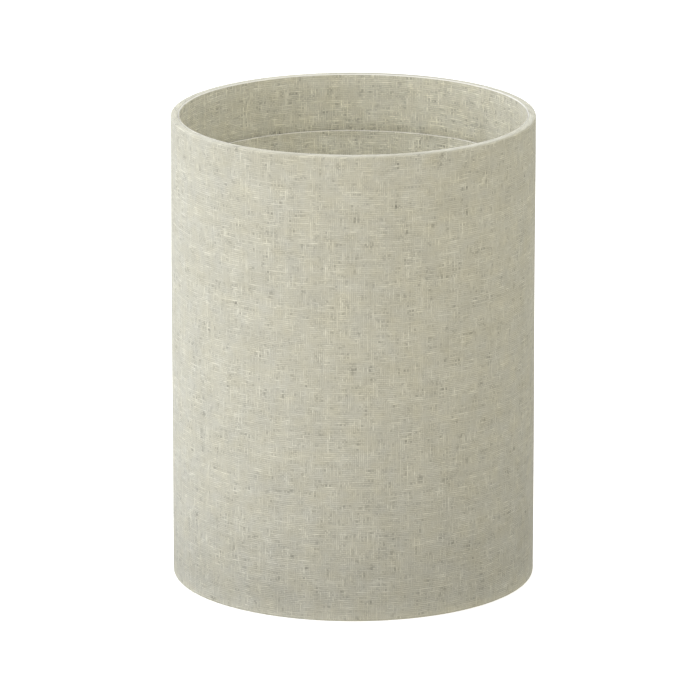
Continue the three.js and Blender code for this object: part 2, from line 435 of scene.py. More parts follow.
@dataclass(frozen=True)
class Film(Mottled):
    """Stiff white backing film with a faint cloud and a satin face."""

    name: str = "backing_film"
    low: Colour = (0.74, 0.73, 0.68, 1.0)
    high: Colour = (0.82, 0.81, 0.77, 1.0)
    cloud: Texture = (14.0 * MM, 3.0)
    grain: Texture = (0.5 * MM, 1.0)
    roughness: float = 0.42
    cloud_roughness: float = 0.2
    relief: float = 0.01 * MM
    ior: float = 1.55


@dataclass(frozen=True)
class Tape(Mottled):
    """Thin yellowish adhesive tape with creases along it."""

    name: str = "adhesive_tape"
    low: Colour = (0.62, 0.57, 0.44, 1.0)
    high: Colour = (0.72, 0.68, 0.56, 1.0)
    cloud: Texture = (5.0 * MM, 3.0)
    grain: Texture = (1.2 * MM, 2.0)
    roughness: float = 0.32
    cloud_roughness: float = 0.3
    relief: float = 0.02 * MM


@dataclass(frozen=True)
class Plastic(Mottled):
    """White moulded plastic with a fine spark-eroded texture."""

    name: str = "white_plastic"
    low: Colour = (0.64, 0.63, 0.59, 1.0)
    high: Colour = (0.70, 0.69, 0.66, 1.0)
    cloud: Texture = (12.0 * MM, 2.0)
    grain: Texture = (0.35 * MM, 2.0)
    roughness: float = 0.48
    cloud_roughness: float = 0.0
    relief: float = 0.025 * MM
    grain_roughness: float = 0.12


@dataclass(frozen=True)
class Enamel:
    """White baked enamel on steel: orange peel, a little yellowing and rubbed spots."""

    name: str = "white_enamel"
    clean: Colour = (0.80, 0.79, 0.75, 1.0)
    aged: Colour = (0.72, 0.70, 0.62, 1.0)
    steel: Colour = (0.34, 0.33, 0.31, 1.0)
    age: Texture = (9.0 * MM, 3.0)
    peel: Texture = (0.9 * MM, 1.0)
    rub: Texture = (1.6 * MM, 4.0)
    rub_edge: Edge = (0.25, 0.3)
    relief: float = 0.03 * MM

    def material(self) -> Material:
        """Makes the enamel's material.

        Returns:
            The material.
        """
        shader = Shader.material(self.name)
        place = shader.object_place()
        age, peel, rub = (shader.noise(place, *texture) for texture in (self.age, self.peel, self.rub))
        rub = rub.eased(*self.rub_edge)
        paint = shader.mixed(age.share(), self.clean, self.aged)
        surface = {
            "Base Color": shader.mixed(rub, paint, self.steel),
            "Roughness": 0.30 + age * 0.16 + rub * 0.2,
            "Coat Weight": 0.35 - rub * 0.3,
            "Coat Roughness": 0.18,
        }
        return shader.finish(surface, peel + 0.5, self.relief)


@dataclass(frozen=True)
class Board:
    """Plain matt paper or card, which glows when it is lit from under."""

    name: str
    tone: Colour
    fibre: Texture
    roughness: float
    specular: float
    glow: float = 0.0
    relief: float = 0.02 * MM

    def material(self) -> Material:
        """Makes the board's material.

        Returns:
            The material.
        """
        shader = Shader.material(self.name)
        fibre = shader.noise(shader.object_place(), *self.fibre)
        surface = {
            "Base Color": self.tone,
            "Roughness": self.roughness,
            "Specular IOR Level": self.specular,
            "Emission Color": self.tone,
            "Emission Strength": self.glow,
        }
        return shader.finish(surface, fibre + 0.5, self.relief)


@dataclass(frozen=True)
class Finish:
    """A material, and the record's slot that it belongs to."""

    slot: Slot
    material: Material


# ---------------------------------------------------------------- meshes

CLOTH_MAP = "cloth"
Offset = tuple[float, float]


def polar(radius: float, angle: float, height: float) -> Vector:
    """The place at a radius, an angle about the axis and a height."""
    return Vector((radius * math.cos(angle), radius * math.sin(angle), height))


def turns(count: int) -> list[float]:
    """Evenly spaced angles, once round."""
    return [TURN * i / count for i in range(count)]


@dataclass(frozen=True)
class Station:
    """One row of a sheet: how far along the cloth it lies, and its radius and height there."""

    along: float
    radius: float
    height: float


def stations(points: Iterable[tuple[float, float]]) -> list[Station]:
    """Measures along an outline.

    Args:
        points: The outline's (radius, height) points, in order.

    Returns:
        A station for each point.
    """
    found: list[Station] = []
    along = 0.0
    for radius, height in points:
        if found:
            along += math.hypot(radius - found[-1].radius, height - found[-1].height)
        found.append(Station(along, radius, height))
    return found


def spaced(low: float, high: float, pitch: float, also: Sequence[float] = ()) -> list[float]:
    """Evenly spaced values.

    Args:
        low: The first value.
        high: The last value.
        pitch: About how far apart they lie.
        also: Further values to include, where they lie between low and high.

    Returns:
        The values in order. Those that nearly meet one of also give way to it.
    """
    count = max(1, round((high - low) / pitch))
    fixed = [low, high, *(v for v in also if low < v < high)]
    even = [low + (high - low) * i / count for i in range(1, count)]
    nearest = 0.3 * (high - low) / count
    return sorted([*fixed, *(v for v in even if min(abs(v - f) for f in fixed) > nearest)])


def upright(radius: float, low: float, high: float, pitch: float,
            also: Sequence[float] = ()) -> list[Station]:
    """Places the rows of a layer that stands parallel to the axis.

    Args:
        radius: The layer's radius.
        low: The height of its lower edge.
        high: The height of its upper edge.
        pitch: About how far apart the rows lie.
        also: Further heights to include.

    Returns:
        The rows, from the bottom up.
    """
    return stations((radius, height) for height in spaced(low, high, pitch, also))


@dataclass
class Sheet:
    """A thin sheet bent round the axis, drawn as a grid and given its thickness."""

    name: str
    columns: list[float]
    rows: list[Station]
    thickness: float
    shift: Callable[[float, Station], Offset]
    keeps: Callable[[float, Station, Station], bool] = lambda angle, low, high: True
    faces_out: bool = True
    closed: bool = False
    bolt: Offset = (0.0, 0.0)

    def _corner(self, angle: float, row: Station) -> Vector:
        """The place of one corner of the grid."""
        outward, upward = self.shift(angle, row)
        return polar(row.radius + outward, angle, row.height + upward)

    def build(self) -> bpy.types.Object:
        """Builds the sheet.

        Returns:
            The sheet as one closed mesh object, with its cloth map in metres.
        """
        mesh = bmesh.new()
        cloth = mesh.loops.layers.uv.new(CLOTH_MAP)
        grid = [[mesh.verts.new(self._corner(a, row)) for row in self.rows] for a in self.columns]
        width = len(self.columns)
        spans = range(width if self.closed else width - 1)
        for i in spans:
            left, right = self.columns[i], self.columns[(i + 1) % width]
            if right < left:
                right += TURN
            for j in range(len(self.rows) - 1):
                low, high = self.rows[j], self.rows[j + 1]
                if not self.keeps((left + right) / 2.0, low, high):
                    continue
                after = grid[(i + 1) % width]
                corners = [grid[i][j], after[j], after[j + 1], grid[i][j + 1]]
                places = [(left, low), (right, low), (right, high), (left, high)]
                if not self.faces_out:
                    corners, places = corners[::-1], places[::-1]
                face = mesh.faces.new(corners)
                for loop, (angle, row) in zip(face.loops, places):
                    loop[cloth].uv = (self.bolt[0] + angle * row.radius, self.bolt[1] + row.along)
        bmesh.ops.delete(mesh, geom=[v for v in mesh.verts if not v.link_faces], context="VERTS")
        made = finished_object(self.name, mesh)
        thicken(made, self.thickness)
        return made


def finished_object(name: str, mesh: bmesh.types.BMesh) -> bpy.types.Object:
    """Turns a mesh that is being built into an object.

    Args:
        name: The object's name.
        mesh: The mesh, which this uses up.

    Returns:
        The object, with smooth faces.
    """
    data = bpy.data.meshes.new(name)
    mesh.to_mesh(data)
    mesh.free()
    data.polygons.foreach_set("use_smooth", [True] * len(data.polygons))
    made = bpy.data.objects.new(name, data)
    bpy.context.scene.collection.objects.link(made)
    return made


def thicken(made: bpy.types.Object, thickness: float) -> None:
    """Gives a sheet its thickness, behind the faces that it has.

    Args:
        made: The sheet.
        thickness: Its thickness.
    """
    solid = made.modifiers.new("thickness", "SOLIDIFY")
    solid.thickness = thickness
    solid.offset = -1.0
    solid.use_even_offset = True
    solid.use_quality_normals = True
    seen = made.evaluated_get(bpy.context.evaluated_depsgraph_get())
    data = bpy.data.meshes.new_from_object(seen)
    made.modifiers.clear()
    old, made.data = made.data, data
    bpy.data.meshes.remove(old)
    data.polygons.foreach_set("use_smooth", [True] * len(data.polygons))
    data.set_sharp_from_angle(angle=SHARP)


def bent(before: Vector, corner: Vector, after: Vector, reach: float, steps: int) -> list[Vector]:
    """Rounds one corner of a path.

    Args:
        before: The point before the corner.
        corner: The corner.
        after: The point after the corner.
        reach: How far from the corner the bend starts and ends.
        steps: Straight lengths in the bend.

    Returns:
        The bend's points.
    """
    into = corner + (before - corner).normalized() * reach
    out = corner + (after - corner).normalized() * reach
    shares = [i / steps for i in range(steps + 1)]
    return [into * (1 - t) ** 2 + corner * 2 * t * (1 - t) + out * t**2 for t in shares]


def rounded(corners: Sequence[tuple[float, float, float]], flats: int = 5) -> list[tuple[float, float]]:
    """Rounds the corners of a closed outline.

    Args:
        corners: Each corner's radius from the axis, height and rounding.
        flats: Straight lengths in each rounding.

    Returns:
        The outline's (radius, height) points.
    """
    places = [Vector(corner[:2]) for corner in corners]
    found: list[Vector] = []
    for i, here in enumerate(places):
        found += bent(places[i - 1], here, places[(i + 1) % len(places)], corners[i][2], flats)
    return [(point.x, point.y) for point in found]


def revolved(name: str, outline: Sequence[tuple[float, float]], segments: int) -> bpy.types.Object:
    """Turns a closed outline round the axis.

    Args:
        name: The object's name.
        outline: Its (radius, height) points, anticlockwise.
        segments: Flats round the axis.

    Returns:
        The object, closed and smooth.
    """
    mesh = bmesh.new()
    loops = [[mesh.verts.new(polar(r, angle, z)) for r, z in outline] for angle in turns(segments)]
    for i, here in enumerate(loops):
        there = loops[(i + 1) % segments]
        for j in range(len(outline)):
            k = (j + 1) % len(outline)
            mesh.faces.new((here[j], there[j], there[k], here[k]))
    bmesh.ops.recalc_face_normals(mesh, faces=mesh.faces)
    made = finished_object(name, mesh)
    made.data.set_sharp_from_angle(angle=SHARP)
    return made


def swept(name: str, path: Sequence[Vector], radii: Sequence[float], sides: int,
          closed: bool) -> bpy.types.Object:
    """Sweeps a round section along a path that lies in one plane.

    Args:
        name: The object's name.
        path: The centre line's points.
        radii: The section's radius at each point.
        sides: Flats round the section.
        closed: Whether the path ends where it starts.

    Returns:
        The object, closed and smooth.
    """
    mesh = bmesh.new()
    count = len(path)
    across = (path[count // 3] - path[0]).cross(path[2 * count // 3] - path[0]).normalized()
    loops = []
    for i, (here, radius) in enumerate(zip(path, radii)):
        before = path[i - 1] if closed or i else here
        after = path[(i + 1) % count] if closed or i < count - 1 else here
        side = (after - before).normalized().cross(across)
        spokes = [(across * math.cos(t) + side * math.sin(t)) * radius for t in turns(sides)]
        loops.append([mesh.verts.new(here + spoke) for spoke in spokes])
    for i in range(count if closed else count - 1):
        here, there = loops[i], loops[(i + 1) % count]
        for k in range(sides):
            after = (k + 1) % sides
            mesh.faces.new((here[k], here[after], there[after], there[k]))
    if not closed:
        mesh.faces.new(loops[0])
        mesh.faces.new(loops[-1])
    bmesh.ops.recalc_face_normals(mesh, faces=mesh.faces)
    return finished_object(name, mesh)


def dressed(made: bpy.types.Object, body: Body, finish: Finish, *nodes: str) -> None:
    """Gives a piece the material of its finish, and its place in the frame.

    Args:
        made: The piece.
        body: The body that it rides on.
        finish: Its finish.
        nodes: The nodes that it stands for.
    """
    made.data.materials.clear()
    made.data.materials.append(finish.material)
    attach(made, body.value)
    if nodes:
        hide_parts(*nodes)
    log.info("%s: %d faces, on %s", made.name, len(made.data.polygons), body.value)


# ---------------------------------------------------------------- the frame's sizes

Wave = tuple[float, float, float]


@dataclass(frozen=True)
class Layout:
    """Sizes that several sub-assemblies share, read from the frame."""

    radius: float
    height: float
    ring_radius: float
    wire: float
    ring_height: float
    lining_end: float

    @staticmethod
    def read() -> "Layout":
        """Reads the sizes from the frame's boxes.

        Returns:
            The sizes.
        """
        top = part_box("outer_linen")[1]
        ring_low, ring_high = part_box("bottom_ring")
        wire = (ring_high.z - ring_low.z) / 2.0
        lining_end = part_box("lining_linen")[0].z
        return Layout(top.x, top.z, ring_high.x - wire, wire, ring_low.z + wire, lining_end)

    @property
    def roll(self) -> float:
        """Half the width of a rolled rim."""
        return self.radius - self.ring_radius

    def from_rim(self, height: float) -> float:
        """How far a height lies from the nearer rim."""
        return min(height, self.height - height)


@dataclass(frozen=True)
class Waver:
    """The slight unevenness of a hand-made shade, the same in all of its layers.

    Each Wave is how often it swings round the shade, how far it turns on the way up, and its phase.
    """

    depth: float = 0.10 * MM
    fray: float = 0.10 * MM
    calm: float = 14.0 * MM
    waves: tuple[Wave, ...] = ((2.0, 3.0, 0.4), (3.0, -7.0, 2.1), (5.0, 11.0, 4.0), (9.0, 5.0, 1.3))

    def outward(self, angle: float, height: float, layout: Layout) -> float:
        """Says how far the wall stands out of true at one place.

        Args:
            angle: The place round the axis, in radians.
            height: The place's height.
            layout: The shade's sizes.

        Returns:
            The distance outwards. It is 0 at both rims.
        """
        fade = max(0.0, min(1.0, layout.from_rim(height) / self.calm - 0.3)) ** 2
        share = height / layout.height
        total = sum(math.sin(often * angle + turn * share + phase) for often, turn, phase in self.waves)
        return self.depth * fade * total / 2.0

    def edge(self, angle: float, seed: float) -> float:
        """How far a cut edge strays from straight at one angle."""
        return self.fray * (math.sin(3.0 * angle + seed) + 0.7 * math.sin(7.0 * angle + 2.3 * seed)) / 1.7


@dataclass(frozen=True)
class Lap:
    """How the two ends of a sheet lie over each other."""

    width: float = math.radians(7.5)
    step: float = math.radians(7.5)
    depth: float = 0.8 * MM
    margin: float = math.radians(0.75)


def smooth(value: float, start: float, end: float) -> float:
    """Eases from 0 at start to 1 at end."""
    t = max(0.0, min(1.0, (value - start) / (end - start)))
    return t * t * (3.0 - 2.0 * t)


# ---------------------------------------------------------------- the shade's sheets


@dataclass
class Covering:
    """Linen on stiff film, with slits where the arms pass: what the cover and the inner bands share."""

    layout: Layout
    linen: Finish
    film: Finish
    tape: Finish
    waver: Waver = field(default_factory=Waver)
    lap: Lap = field(default_factory=Lap)
    cloth: float = 0.45 * MM
    film_thickness: float = 0.30 * MM
    tape_thickness: float = 0.15 * MM
    column_pitch: float = math.radians(1.25)
    slit_width: float = 5.0 * MM
    slit_height: float = 6.4 * MM
    arms: tuple[float, ...] = tuple(math.radians(a) for a in range(-90, 631, 120))

    def _slit_sides(self, radius: float) -> list[float]:
        """The angles of the slits' sides, where their width is measured at a radius."""
        half = self.slit_width / 2.0 / radius
        return [arm + side for arm in self.arms for side in (-half, half)]

    def _in_slit(self, angle: float, radius: float) -> bool:
        """Whether an angle lies in a slit whose width is measured at a radius."""
        half = self.slit_width / 2.0 / radius
        return any(abs(math.remainder(angle - arm, TURN)) < half for arm in self.arms)

    def _follow(self, angle: float, row: Station) -> Offset:
        """The waver alone, for a layer behind the linen."""
        return self.waver.outward(angle, row.height, self.layout), 0.0


@dataclass(kw_only=True)
class OuterCover(Covering):
    """The outer linen, rolled over both rings, with the film and tape behind it."""

    seam: float = math.radians(90.0)
    hem_leg: float = 12.0 * MM
    hem_steps: int = 5
    notch: float = 12.0 * MM
    notch_ease: float = 0.45
    butt: float = math.radians(0.1)
    row_pitch: float = 5.0 * MM
    roll_steps: int = 22
    squareness: float = 4.2

    @property
    def slit_radius(self) -> float:
        """How far out the slits reach."""
        return self.layout.ring_radius - self.layout.wire / 2.0

    @property
    def lap_end(self) -> float:
        """The angle where the tongue under the lap ends and the full cover starts."""
        return self.seam + self.lap.width

    def _roll(self, start: float, end: float, height: float) -> list[tuple[float, float]]:
        """Draws a rolled rim about its ring.

        Args:
            start: The first point's angle about the ring's centre.
            end: The last point's angle.
            height: The ring's height.

        Returns:
            The (radius, height) points.
        """
        layout = self.layout
        share = (self.slit_radius - layout.ring_radius) / layout.roll
        cut = math.atan2(-((1.0 - abs(share) ** self.squareness) ** (1.0 / self.squareness)), share)
        points = []
        for turn in spaced(start, end, math.pi / self.roll_steps, (cut,)):
            reach = self._reach(turn)
            radius = layout.ring_radius + layout.roll * reach * math.cos(turn)
            points.append((radius, height + layout.ring_height * reach * math.sin(turn)))
        return points

    def _reach(self, turn: float) -> float:
        """How far the roll reaches at one angle: 1 half width to the sides, and more at the corners."""
        power = self.squareness
        return (abs(math.cos(turn)) ** power + abs(math.sin(turn)) ** power) ** (-1.0 / power)

    def _outline(self) -> list[Station]:
        """Draws the cover's outer face.

        Returns:
            Its rows, from the end of the bottom hem over the wall to that of the top hem.
        """
        layout = self.layout
        inner = layout.ring_radius - layout.roll
        low, high = layout.ring_height, layout.height - layout.ring_height
        leg = spaced(0.0, self.hem_leg, self.hem_leg / self.hem_steps, (self.slit_height - low,))
        wall = spaced(low, high, self.row_pitch, (self.notch, layout.height - self.notch))
        points = [(inner, low + rise) for rise in reversed(leg)]
        points += self._roll(-math.pi, 0.0, low)[1:]
        points += [(layout.radius, height) for height in wall[1:]]
        points += self._roll(0.0, math.pi, high)[1:]
        points += [(inner, high - drop) for drop in leg[1:]]
        return stations(points)

    def _columns(self) -> list[float]:
        """Places the cover's columns.

        Returns:
            Their angles, with one at each side of every slit.
        """
        slits = self._slit_sides(self.layout.ring_radius - self.layout.roll)
        tongue = spaced(self.seam, self.lap_end, self.column_pitch)
        return tongue[:-1] + spaced(self.lap_end, self.lap_end + TURN - self.butt, self.column_pitch, slits)

    def _on_wall(self, radius: float) -> bool:
        """Whether a radius is that of the straight wall, and not of a hem."""
        return radius >= self.layout.radius - TINY

    def _shift(self, angle: float, row: Station) -> Offset:
        """Moves the wall, which wavers, and whose start dips under its end.

        Args:
            angle: The angle of one corner of the grid.
            row: The corner's row.

        Returns:
            How far the corner moves outwards and upwards.
        """
        if not self._on_wall(row.radius):
            return 0.0, 0.0
        near = self.layout.from_rim(row.height)
        dip = 1.0 - smooth(angle, self.lap_end, self.lap_end + self.lap.step)
        dip *= smooth(near, self.notch * self.notch_ease, self.notch)
        return self.waver.outward(angle, row.height, self.layout) - dip * self.lap.depth, 0.0

    def _keeps(self, angle: float, low: Station, high: Station) -> bool:
        """Says which faces of the grid are cloth.

        Args:
            angle: The angle of the face's middle.
            low: The row below it.
            high: The row above it.

        Returns:
            False in the slits, and in all of the tongue under the lap but its wall.
        """
        radius, height = (low.radius + high.radius) / 2.0, (low.height + high.height) / 2.0
        if angle < self.lap_end:
            return self._on_wall(radius) and self.layout.from_rim(height) > self.notch
        return not (height < self.slit_height and radius < self.slit_radius and self._in_slit(angle, radius))

    def build(self) -> None:
        """Builds the linen, the film and the seam tape."""
        rows = self._outline()
        cover = Sheet("outer_cover", self._columns(), rows, self.cloth, self._shift, self._keeps).build()
        dressed(cover, Body.SHADE, self.linen, "outer_linen")
        flat = (self.layout.radius * (TURN + self.lap.width), rows[-1].along)

        low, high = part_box("outer_film")
        lap, pitch = self.lap, 2.0 * self.column_pitch
        columns = spaced(self.lap_end + lap.step, self.seam + TURN - lap.margin, pitch)
        rows = upright(high.x, low.z, high.z, 2.0 * self.row_pitch)
        film = Sheet("outer_backing", columns, rows, self.film_thickness, self._follow).build()
        dressed(film, Body.SHADE, self.film, "outer_film")
        columns = spaced(self.seam + lap.margin, self.lap_end - lap.margin, pitch)
        rows = upright(high.x, self.notch, self.layout.height - self.notch, 2.0 * self.row_pitch)
        tape = Sheet("outer_lap_tape", columns, rows, self.tape_thickness, self._follow).build()
        dressed(tape, Body.SHADE, self.tape, "outer_seam_tape")


@dataclass(kw_only=True)
class InnerBand(Covering):
    """A facing or the lining: linen whose good face looks to the axis, its film, and its tapes."""

    name: str
    seam: float
    lapped: bool
    bolt: tuple[float, float]
    butt: float = math.radians(0.3)
    lean: float = 0.30 * MM
    lean_height: float = 7.0 * MM
    rise: float = 0.20 * MM
    press: float = 1.1 * MM
    press_height: float = 4.5 * MM
    press_below: float = 2.5 * MM
    film_short: float = 0.0
    edge_round: float = 0.35 * MM
    edge_rows: tuple[float, ...] = (0.12, 0.35, 0.65, 1.0)
    tip: float = 0.0
    tip_height: float = 1.0 * MM
    row_pitch: float = 1.8 * MM
    low: float = field(init=False)
    high: float = field(init=False)
    radius: float = field(init=False)

    def __post_init__(self) -> None:
        """Reads the cloth's box from the frame."""
        low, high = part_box(f"{self.name}_linen")
        self.low, self.high, self.radius = low.z, high.z, high.x

    def _shift(self, angle: float, row: Station) -> Offset:
        """Moves the cloth and film: waver and bend, the lap's step inwards, and rounded, wandering cut edges.

        Args:
            angle: The angle of one corner of the grid.
            row: The corner's row.

        Returns:
            How far the corner moves outwards and upwards.
        """
        outward = self._follow(angle, row)[0]
        if self.lapped:
            end = self.seam + TURN
            outward -= self.lap.depth * smooth(angle, end - self.lap.step, end)
        from_edge = min(row.height - self.low, self.high - row.height)
        into_edge = max(0.0, 1.0 - from_edge / self.edge_round)
        outward += self.edge_round * 0.5 * (1.0 - math.sqrt(1.0 - into_edge * into_edge))
        outward += self.tip * max(0.0, 1.0 - from_edge / self.tip_height)
        middle, half = (self.low + self.high) / 2.0, (self.high - self.low) / 2.0
        share = ((row.height - middle) / half) ** 3
        upward = self.waver.edge(angle, self.seam + self.bolt[1]) * abs(share)
        if self.layout.from_rim(row.height) < self.lean_height:
            upward += self.rise * share
        return outward, upward

    def _follow(self, angle: float, row: Station) -> Offset:
        """Moves every layer: it wavers, leans on the rolled rim, and is pressed in where the lining ends.

        Args:
            angle: The angle of one corner of the grid.
            row: The corner's row.

        Returns:
            How far the corner moves outwards and upwards.
        """
        from_rim = self.layout.from_rim(row.height)
        lean = 1.0 - smooth(from_rim, self.lean_height / 3.0, self.lean_height)
        deepest = self.layout.lining_end + self.press_below
        dip = math.exp(-(((from_rim - deepest) / self.press_height) ** 2))
        waver = self.waver.outward(angle, row.height, self.layout)
        return waver + self.lean * lean + self.press * dip, 0.0

    def _keeps(self, angle: float, low: Station, high: Station) -> bool:
        """Leaves out the slits at the bottom rim."""
        return not ((low.height + high.height) / 2.0 < self.slit_height and self._in_slit(angle, low.radius))

    def _layer(self, name: str, outside: float, thickness: float, end: float, short: float,
               faces_out: bool) -> bpy.types.Object:
        """Builds the cloth or its film, with rows closer together at both cut edges.

        Args:
            name: The piece's name.
            outside: The radius of its outer face.
            thickness: Its thickness.
            end: The angle of its last edge.
            short: How far it stops short of the cloth's cut edges.
            faces_out: Whether its good face looks outwards.

        Returns:
            The layer.
        """
        low, high = self.low + short, self.high - short
        reaches = [self.edge_round * share for share in self.edge_rows] + [self.tip_height]
        edges = [low + reach for reach in reaches] + [high - reach for reach in reaches]
        radius = outside if faces_out else outside - thickness
        rows = upright(radius, low, high, self.row_pitch, (self.slit_height, *edges))
        slits = self._slit_sides(outside) if self.low < self.slit_height else []
        columns = spaced(self.seam, end, self.column_pitch, slits)
        sheet = Sheet(name, columns, rows, thickness, self._shift, self._keeps, faces_out, bolt=self.bolt)
        return sheet.build()

    def build(self) -> None:
        """Builds the cloth and its film, and any seam tape."""
        inside = self.radius - self.cloth
        end = self.seam + TURN + (self.lap.width if self.lapped else -self.butt)
        cloth = self._layer(f"{self.name}_cloth", self.radius, self.cloth, end, 0.0, faces_out=False)
        dressed(cloth, Body.SHADE, self.linen, f"{self.name}_linen")
        flat = (inside * (end - self.seam), self.high - self.low)

        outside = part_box(f"{self.name}_film")[1].x
        end = self.seam + TURN - (self.lap.step + self.lap.margin if self.lapped else self.butt)
        name = f"{self.name}_backing"
        film = self._layer(name, outside, self.film_thickness, end, self.film_short, faces_out=True)
        dressed(film, Body.SHADE, self.film, f"{self.name}_film")
        if self.lapped:
            self._build_seam_tape(inside)

    def _build_seam_tape(self, inside: float) -> None:
        """Builds the tape between the two layers of the lap.

        Args:
            inside: The radius of the cloth's good face.
        """
        low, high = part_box(f"{self.name}_seam_tape")
        room = self.lap.depth - self.cloth - self.tape_thickness
        rows = upright(inside - room / 2.0, low.z, high.z, self.row_pitch)
        first, last = self.seam + self.lap.margin, self.seam + self.lap.width - self.lap.margin
        columns = spaced(first, last, self.column_pitch)
        made = Sheet(f"{self.name}_lap_tape", columns, rows, self.tape_thickness, self._follow).build()
        dressed(made, Body.SHADE, self.tape, f"{self.name}_seam_tape")

    def build_fixing_tape(self, node: str) -> None:
        """Builds one tape that runs all the way round behind the cloth's film.

        Args:
            node: The node that it stands for.
        """
        low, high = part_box(node)
        rows = upright(high.x, low.z, high.z, self.row_pitch)
        columns = spaced(0.0, TURN, 2.0 * self.column_pitch)[:-1]
        made = Sheet(f"{node}_strip", columns, rows, self.tape_thickness, self._follow, closed=True).build()
        dressed(made, Body.SHADE, self.tape, node)


# ---------------------------------------------------------------- wires and rings


@dataclass
class WireFrame:
    """The two ring wires, the three arms and their welds."""

    layout: Layout
    enamel: Finish
    slack: float = 0.05 * MM
    ring_steps: int = 240
    ring_weld: float = 1.0
    ring_weld_spread: float = 0.02
    sides: int = 20
    foot_run: float = 5.5 * MM
    foot_bend: float = 4.5 * MM
    rise_angle: float = math.radians(62.0)
    top_bend: float = 6.0 * MM
    bend_steps: int = 10
    run_pitch: float = 3.0 * MM
    foot_weld: tuple[float, float, float] = (1.5, 1.9, 1.6)
    foot_weld_out: float = 0.1 * MM
    hub_weld: tuple[float, float, float] = (1.3, 2.0, 1.65)
    lumps: float = 0.12
    lump_pitch: float = 1.7
    lump_apart: float = 3.1
    end_edge: float = math.radians(60.0)

    def build(self) -> None:
        """Builds the rings, arms and welds."""
        for name in ("top_ring", "bottom_ring"):
            self._ring(name)
        for i in range(3):
            self._arm(i)

    def _ring(self, name: str) -> None:
        """Builds one ring wire, a little thicker at its own weld.

        Args:
            name: The node that it stands for.
        """
        low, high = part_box(name)
        angles = turns(self.ring_steps)
        path = [polar(self.layout.ring_radius, angle, (low.z + high.z) / 2.0) for angle in angles]
        from_weld = [math.remainder(angle - self.ring_weld, TURN) / self.ring_weld_spread for angle in angles]
        wire = self.layout.wire - self.slack
        radii = [wire + self.slack * math.exp(-(away**2)) for away in from_weld]
        made = swept(f"{name}_wire", path, radii, self.sides, closed=True)
        dressed(made, Body.SHADE, self.enamel, name)

    def _centre_line(self, outer: float, inner: float, foot: float, top: float) -> list[Vector]:
        """The centre line of an arm that points along +X.

        Args:
            outer: The radius of its outer end.
            inner: The radius of its inner end.
            foot: The height of its outer end.
            top: The height of its inner end.

        Returns:
            The points, from the outer end to the inner one.
        """
        first = Vector((outer - self.foot_run, 0.0, foot))
        second = Vector((first.x - (top - foot) / math.tan(self.rise_angle), 0.0, top))
        start, end = Vector((outer, 0.0, foot)), Vector((inner, 0.0, top))
        path = [start]
        bends = ((start, first, second, self.foot_bend), (first, second, end, self.top_bend))
        for before, corner, after, reach in bends:
            path += bent(before, corner, after, reach, self.bend_steps)
        last = path[-1]
        count = max(2, round((last - end).length / self.run_pitch))
        return path + [last.lerp(end, i / count) for i in range(1, count + 1)]

    def _arm(self, i: int) -> None:
        """Builds one arm and its two welds.

        Args:
            i: Which arm, from 0 at the front and anticlockwise as seen from above.
        """
        low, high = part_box("spider_arm_1")
        wire = high.x
        foot, top = low.z + wire, high.z - wire
        outer, inner = -low.y, -high.y
        turn = Matrix.Rotation(-TURN / 4.0 + i * TURN / 3.0, 4, "Z")
        path = [turn @ p for p in self._centre_line(outer, inner, foot, top)]
        made = swept(f"arm_{i + 1}_wire", path, [wire] * len(path), self.sides, closed=False)
        made.data.set_sharp_from_angle(angle=self.end_edge)
        dressed(made, Body.SHADE, self.enamel, f"spider_arm_{i + 1}")
        place = turn @ Vector((outer + self.foot_weld_out, 0.0, foot))
        self._weld(f"weld_foot_{i + 1}", place, self.foot_weld, i, turn)
        self._weld(f"weld_hub_{i + 1}", turn @ Vector((inner, 0.0, top)), self.hub_weld, i + 3, turn)

    def _weld(self, name: str, place: Vector, half: tuple[float, float, float], seed: int,
              turn: Matrix) -> None:
        """Builds one lumpy weld bead.

        Args:
            name: The piece's name.
            place: Its middle.
            half: Its half sizes in millimetres along the arm, across it and upwards.
            seed: Sets its lumps apart from the others'.
            turn: The arm's turn about the axis.
        """
        mesh = bmesh.new()
        bmesh.ops.create_icosphere(mesh, subdivisions=4, radius=1.0)
        for vertex in mesh.verts:
            spot = vertex.co * self.lump_pitch + Vector((seed * self.lump_apart, 0.0, 0.0))
            lump = 1.0 + self.lumps * noise.noise(spot)
            vertex.co = Vector(share * size for share, size in zip(vertex.co, half)) * lump * MM
        made = finished_object(name, mesh)
        made.data.transform(Matrix.Translation(place) @ turn)
        dressed(made, Body.SHADE, self.enamel)


